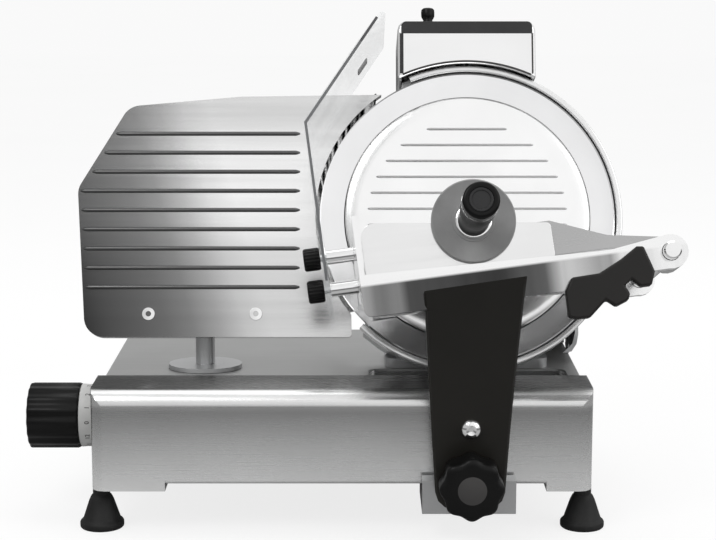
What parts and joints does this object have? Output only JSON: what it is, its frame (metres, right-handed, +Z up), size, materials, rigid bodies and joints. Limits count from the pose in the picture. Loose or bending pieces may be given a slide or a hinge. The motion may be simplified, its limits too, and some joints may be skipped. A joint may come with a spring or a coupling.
{
  "type": "meat slicer",
  "caption": "Gravity-feed slicer: tilted round blade over a cast base, gauge plate set by a side knob, and a tray on a sliding arm with a press and a clear guard.",
  "frame": {"origin": "bottom centre of the bounding box at rest, on the floor under the feet", "axes": "+Z up, +X to the right of the person who works it, along the carriage's travel; +Y away from them"},
  "size_m": [0.4936, 0.4177, 0.39],
  "materials": {
    "base_housing": "fine cast, satin anodised",
    "foot_front_left": "black moulded",
    "foot_front_right": "black moulded",
    "foot_rear_left": "black moulded",
    "foot_rear_right": "black moulded",
    "bottom_plate": "turned",
    "carriage_rod": "turned",
    "guide_bar": "turned",
    "switch_bezel": "black moulded",
    "cable_gland": "black moulded",
    "hub_pin": "turned",
    "hub_bearing": "turned",
    "blade_cover": "polished",
    "ring_guard": "polished",
    "blade_housing": "fine cast, satin anodised",
    "motor": "dark grey enamel",
    "drive_belt": "black moulded",
    "motor_cover": "satin anodised",
    "slice_deflector": "ground and polished",
    "gauge_guide_bracket": "turned",
    "gauge_guide_rod": "turned",
    "sharpener_bracket": "fine cast, satin anodised",
    "cover_tie_rod": "black moulded",
    "blade": "ground and polished",
    "blade_pulley": "satin anodised",
    "motor_rotor": "turned",
    "gauge_plate": "satin anodised",
    "gauge_bracket": "satin anodised",
    "gauge_slider": "turned",
    "index_knob": "black moulded",
    "index_dial": "light grey moulded",
    "index_shaft_and_cam": "turned",
    "slide_block": "satin anodised",
    "carriage_arm": "black powder coat",
    "tray": "polished",
    "press_rod": "ground and polished",
    "rod_clamp": "dark grey moulded",
    "guard_sheet": "clear acrylic sheet",
    "guard_spacer_upper": "ground and polished",
    "guard_spacer_lower": "ground and polished",
    "guide_roller": "light grey moulded",
    "lock_knob": "black moulded",
    "lock_spindle": "turned",
    "guard_thumb_screw_upper": "black moulded",
    "guard_thumb_screw_lower": "black moulded",
    "press_sleeve": "light grey moulded",
    "press_arm": "polished",
    "press_plate": "polished",
    "hand_guard": "mid grey moulded",
    "press_grip": "black moulded",
    "sharpener_cover": "polished",
    "sharpener_post": "turned",
    "sharpener_knob": "black moulded",
    "grinding_button": "black moulded",
    "honing_button": "black moulded",
    "grinding_stone": "bonded abrasive",
    "honing_stone": "bonded abrasive",
    "switch_off_button": "red moulded",
    "switch_on_button": "green moulded"
  },
  "bodies": {
    "machine": {"base_housing": "base_housing", "foot_front_left": "foot_front_left", "foot_front_right": "foot_front_right", "foot_rear_left": "foot_rear_left", "foot_rear_right": "foot_rear_right", "bottom_plate": "bottom_plate", "carriage_rod": "carriage_rod", "guide_bar": "guide_bar", "switch_bezel": "switch_bezel", "cable_gland": "cable_gland", "hub_pin": "hub_pin", "hub_bearing": "hub_bearing", "blade_cover": "blade_cover", "ring_guard": "ring_guard", "blade_housing": "blade_housing", "motor": "motor", "drive_belt": "drive_belt", "motor_cover": "motor_cover", "slice_deflector": "slice_deflector", "gauge_guide_bracket": "gauge_guide_bracket", "gauge_guide_rod": "gauge_guide_rod", "sharpener_bracket": "sharpener_bracket"},
    "cover_tie": {"cover_tie_rod": "cover_tie_rod"},
    "blade": {"blade": "blade", "blade_pulley": "blade_pulley"},
    "rotor": {"motor_rotor": "motor_rotor"},
    "gauge": {"gauge_plate": "gauge_plate", "gauge_bracket": "gauge_bracket", "gauge_slider": "gauge_slider"},
    "index": {"index_knob": "index_knob", "index_dial": "index_dial", "index_shaft_and_cam": "index_shaft_and_cam"},
    "carriage": {"slide_block": "slide_block", "carriage_arm": "carriage_arm", "tray": "tray", "press_rod": "press_rod", "rod_clamp": "rod_clamp", "guard_sheet": "guard_sheet", "guard_spacer_upper": "guard_spacer_upper", "guard_spacer_lower": "guard_spacer_lower"},
    "roller": {"guide_roller": "guide_roller"},
    "lock": {"lock_knob": "lock_knob", "lock_spindle": "lock_spindle"},
    "guard_screw_upper": {"guard_thumb_screw_upper": "guard_thumb_screw_upper"},
    "guard_screw_lower": {"guard_thumb_screw_lower": "guard_thumb_screw_lower"},
    "press_bush": {"press_sleeve": "press_sleeve"},
    "press": {"press_arm": "press_arm", "press_plate": "press_plate", "hand_guard": "hand_guard", "press_grip": "press_grip"},
    "sharpener": {"sharpener_cover": "sharpener_cover", "sharpener_post": "sharpener_post"},
    "sharpener_screw": {"sharpener_knob": "sharpener_knob"},
    "grinding_push": {"grinding_button": "grinding_button"},
    "honing_push": {"honing_button": "honing_button"},
    "grinding_wheel": {"grinding_stone": "grinding_stone"},
    "honing_wheel": {"honing_stone": "honing_stone"},
    "off_key": {"switch_off_button": "switch_off_button"},
    "on_key": {"switch_on_button": "switch_on_button"}
  },
  "joints": [
    {"name": "carriage_slide", "type": "slide", "parent": "machine", "child": "carriage", "axis": [1, 0, 0], "range_m": [-0.2016, 0.0324]},
    {"name": "guide_roller_turn", "type": "hinge", "parent": "carriage", "child": "roller", "pos_m": [0.09298, -0.05675, 0.07], "axis": [0, 1, 0], "range_deg": [-207, 1284]},
    {"name": "carriage_lock_turn", "type": "hinge", "parent": "carriage", "child": "lock", "pos_m": [0.09298, -0.12605, 0.051], "axis": [0, -1, 0], "range_deg": [0, 360]},
    {"name": "guard_screw_upper_turn", "type": "hinge", "parent": "carriage", "child": "guard_screw_upper", "pos_m": [0.10144, -0.04639, 0.22004], "axis": [-0.9911, -0.0412, -0.1268], "range_deg": [0, 360]},
    {"name": "guard_screw_lower_turn", "type": "hinge", "parent": "carriage", "child": "guard_screw_lower", "pos_m": [0.10475, -0.05398, 0.19667], "axis": [-0.9911, -0.0412, -0.1268], "range_deg": [0, 360]},
    {"name": "press_slide", "type": "slide", "parent": "carriage", "child": "press_bush", "axis": [0, 0.9511, -0.309], "range_m": [0, 0.123]},
    {"name": "press_swing", "type": "hinge", "parent": "press_bush", "child": "press", "pos_m": [0.23432, 0.02253, 0.17326], "axis": [0, 0.9511, -0.309], "range_deg": [0, 75]},
    {"name": "blade_spin", "type": "hinge", "parent": "machine", "child": "blade", "pos_m": [0.09838, 0.03875, 0.22318], "axis": [0, -0.9511, 0.309], "continuous": true},
    {"name": "motor_spin", "type": "hinge", "parent": "machine", "child": "rotor", "pos_m": [0.15438, 0.02762, 0.18894], "axis": [0, -0.9511, 0.309], "continuous": true},
    {"name": "gauge_slide", "type": "slide", "parent": "machine", "child": "gauge", "axis": [0, 1, 0], "range_m": [0, 0.012]},
    {"name": "index_turn", "type": "hinge", "parent": "machine", "child": "index", "pos_m": [-0.2268, -0.02526, 0.0755], "axis": [1, 0, 0], "range_deg": [0, 330]},
    {"name": "cover_tie_turn", "type": "hinge", "parent": "machine", "child": "cover_tie", "pos_m": [0.09838, 0.03875, 0.22318], "axis": [0, 0.9511, -0.309], "range_deg": [0, 360]},
    {"name": "sharpener_lift", "type": "slide", "parent": "machine", "child": "sharpener", "axis": [0, 0.309, 0.9511], "range_m": [0, 0.03]},
    {"name": "sharpener_knob_turn", "type": "hinge", "parent": "sharpener", "child": "sharpener_screw", "pos_m": [0.06738, 0.08973, 0.38011], "axis": [0, 0.309, 0.9511], "range_deg": [0, 360]},
    {"name": "grinding_button_push", "type": "slide", "parent": "sharpener", "child": "grinding_push", "axis": [0, -0.9511, 0.309], "range_m": [0, 0.004], "stiffness_N_per_m": 400, "springref_m": -0.002},
    {"name": "honing_button_push", "type": "slide", "parent": "sharpener", "child": "honing_push", "axis": [0, -0.9511, 0.309], "range_m": [0, 0.004], "stiffness_N_per_m": 400, "springref_m": -0.002},
    {"name": "grinding_stone_spin", "type": "hinge", "parent": "grinding_push", "child": "grinding_wheel", "pos_m": [0.07538, 0.08201, 0.35633], "axis": [0, -0.9511, 0.309], "continuous": true},
    {"name": "honing_stone_spin", "type": "hinge", "parent": "honing_push", "child": "honing_wheel", "pos_m": [0.12138, 0.08201, 0.35633], "axis": [0, -0.9511, 0.309], "continuous": true},
    {"name": "switch_off_push", "type": "slide", "parent": "machine", "child": "off_key", "axis": [-1, 0, 0], "range_m": [0, 0.003], "stiffness_N_per_m": 600, "springref_m": -0.002},
    {"name": "switch_on_push", "type": "slide", "parent": "machine", "child": "on_key", "axis": [-1, 0, 0], "range_m": [0, 0.003], "stiffness_N_per_m": 600, "springref_m": -0.002}
  ],
  "couplings": [
    {"joint": "guide_roller_turn", "follows": "carriage_slide", "rad_per_m": -111.11},
    {"joint": "motor_spin", "follows": "blade_spin", "ratio": 3.4783},
    {"joint": "index_turn", "follows": "gauge_slide", "rad_per_m": 479.9}
  ]
}
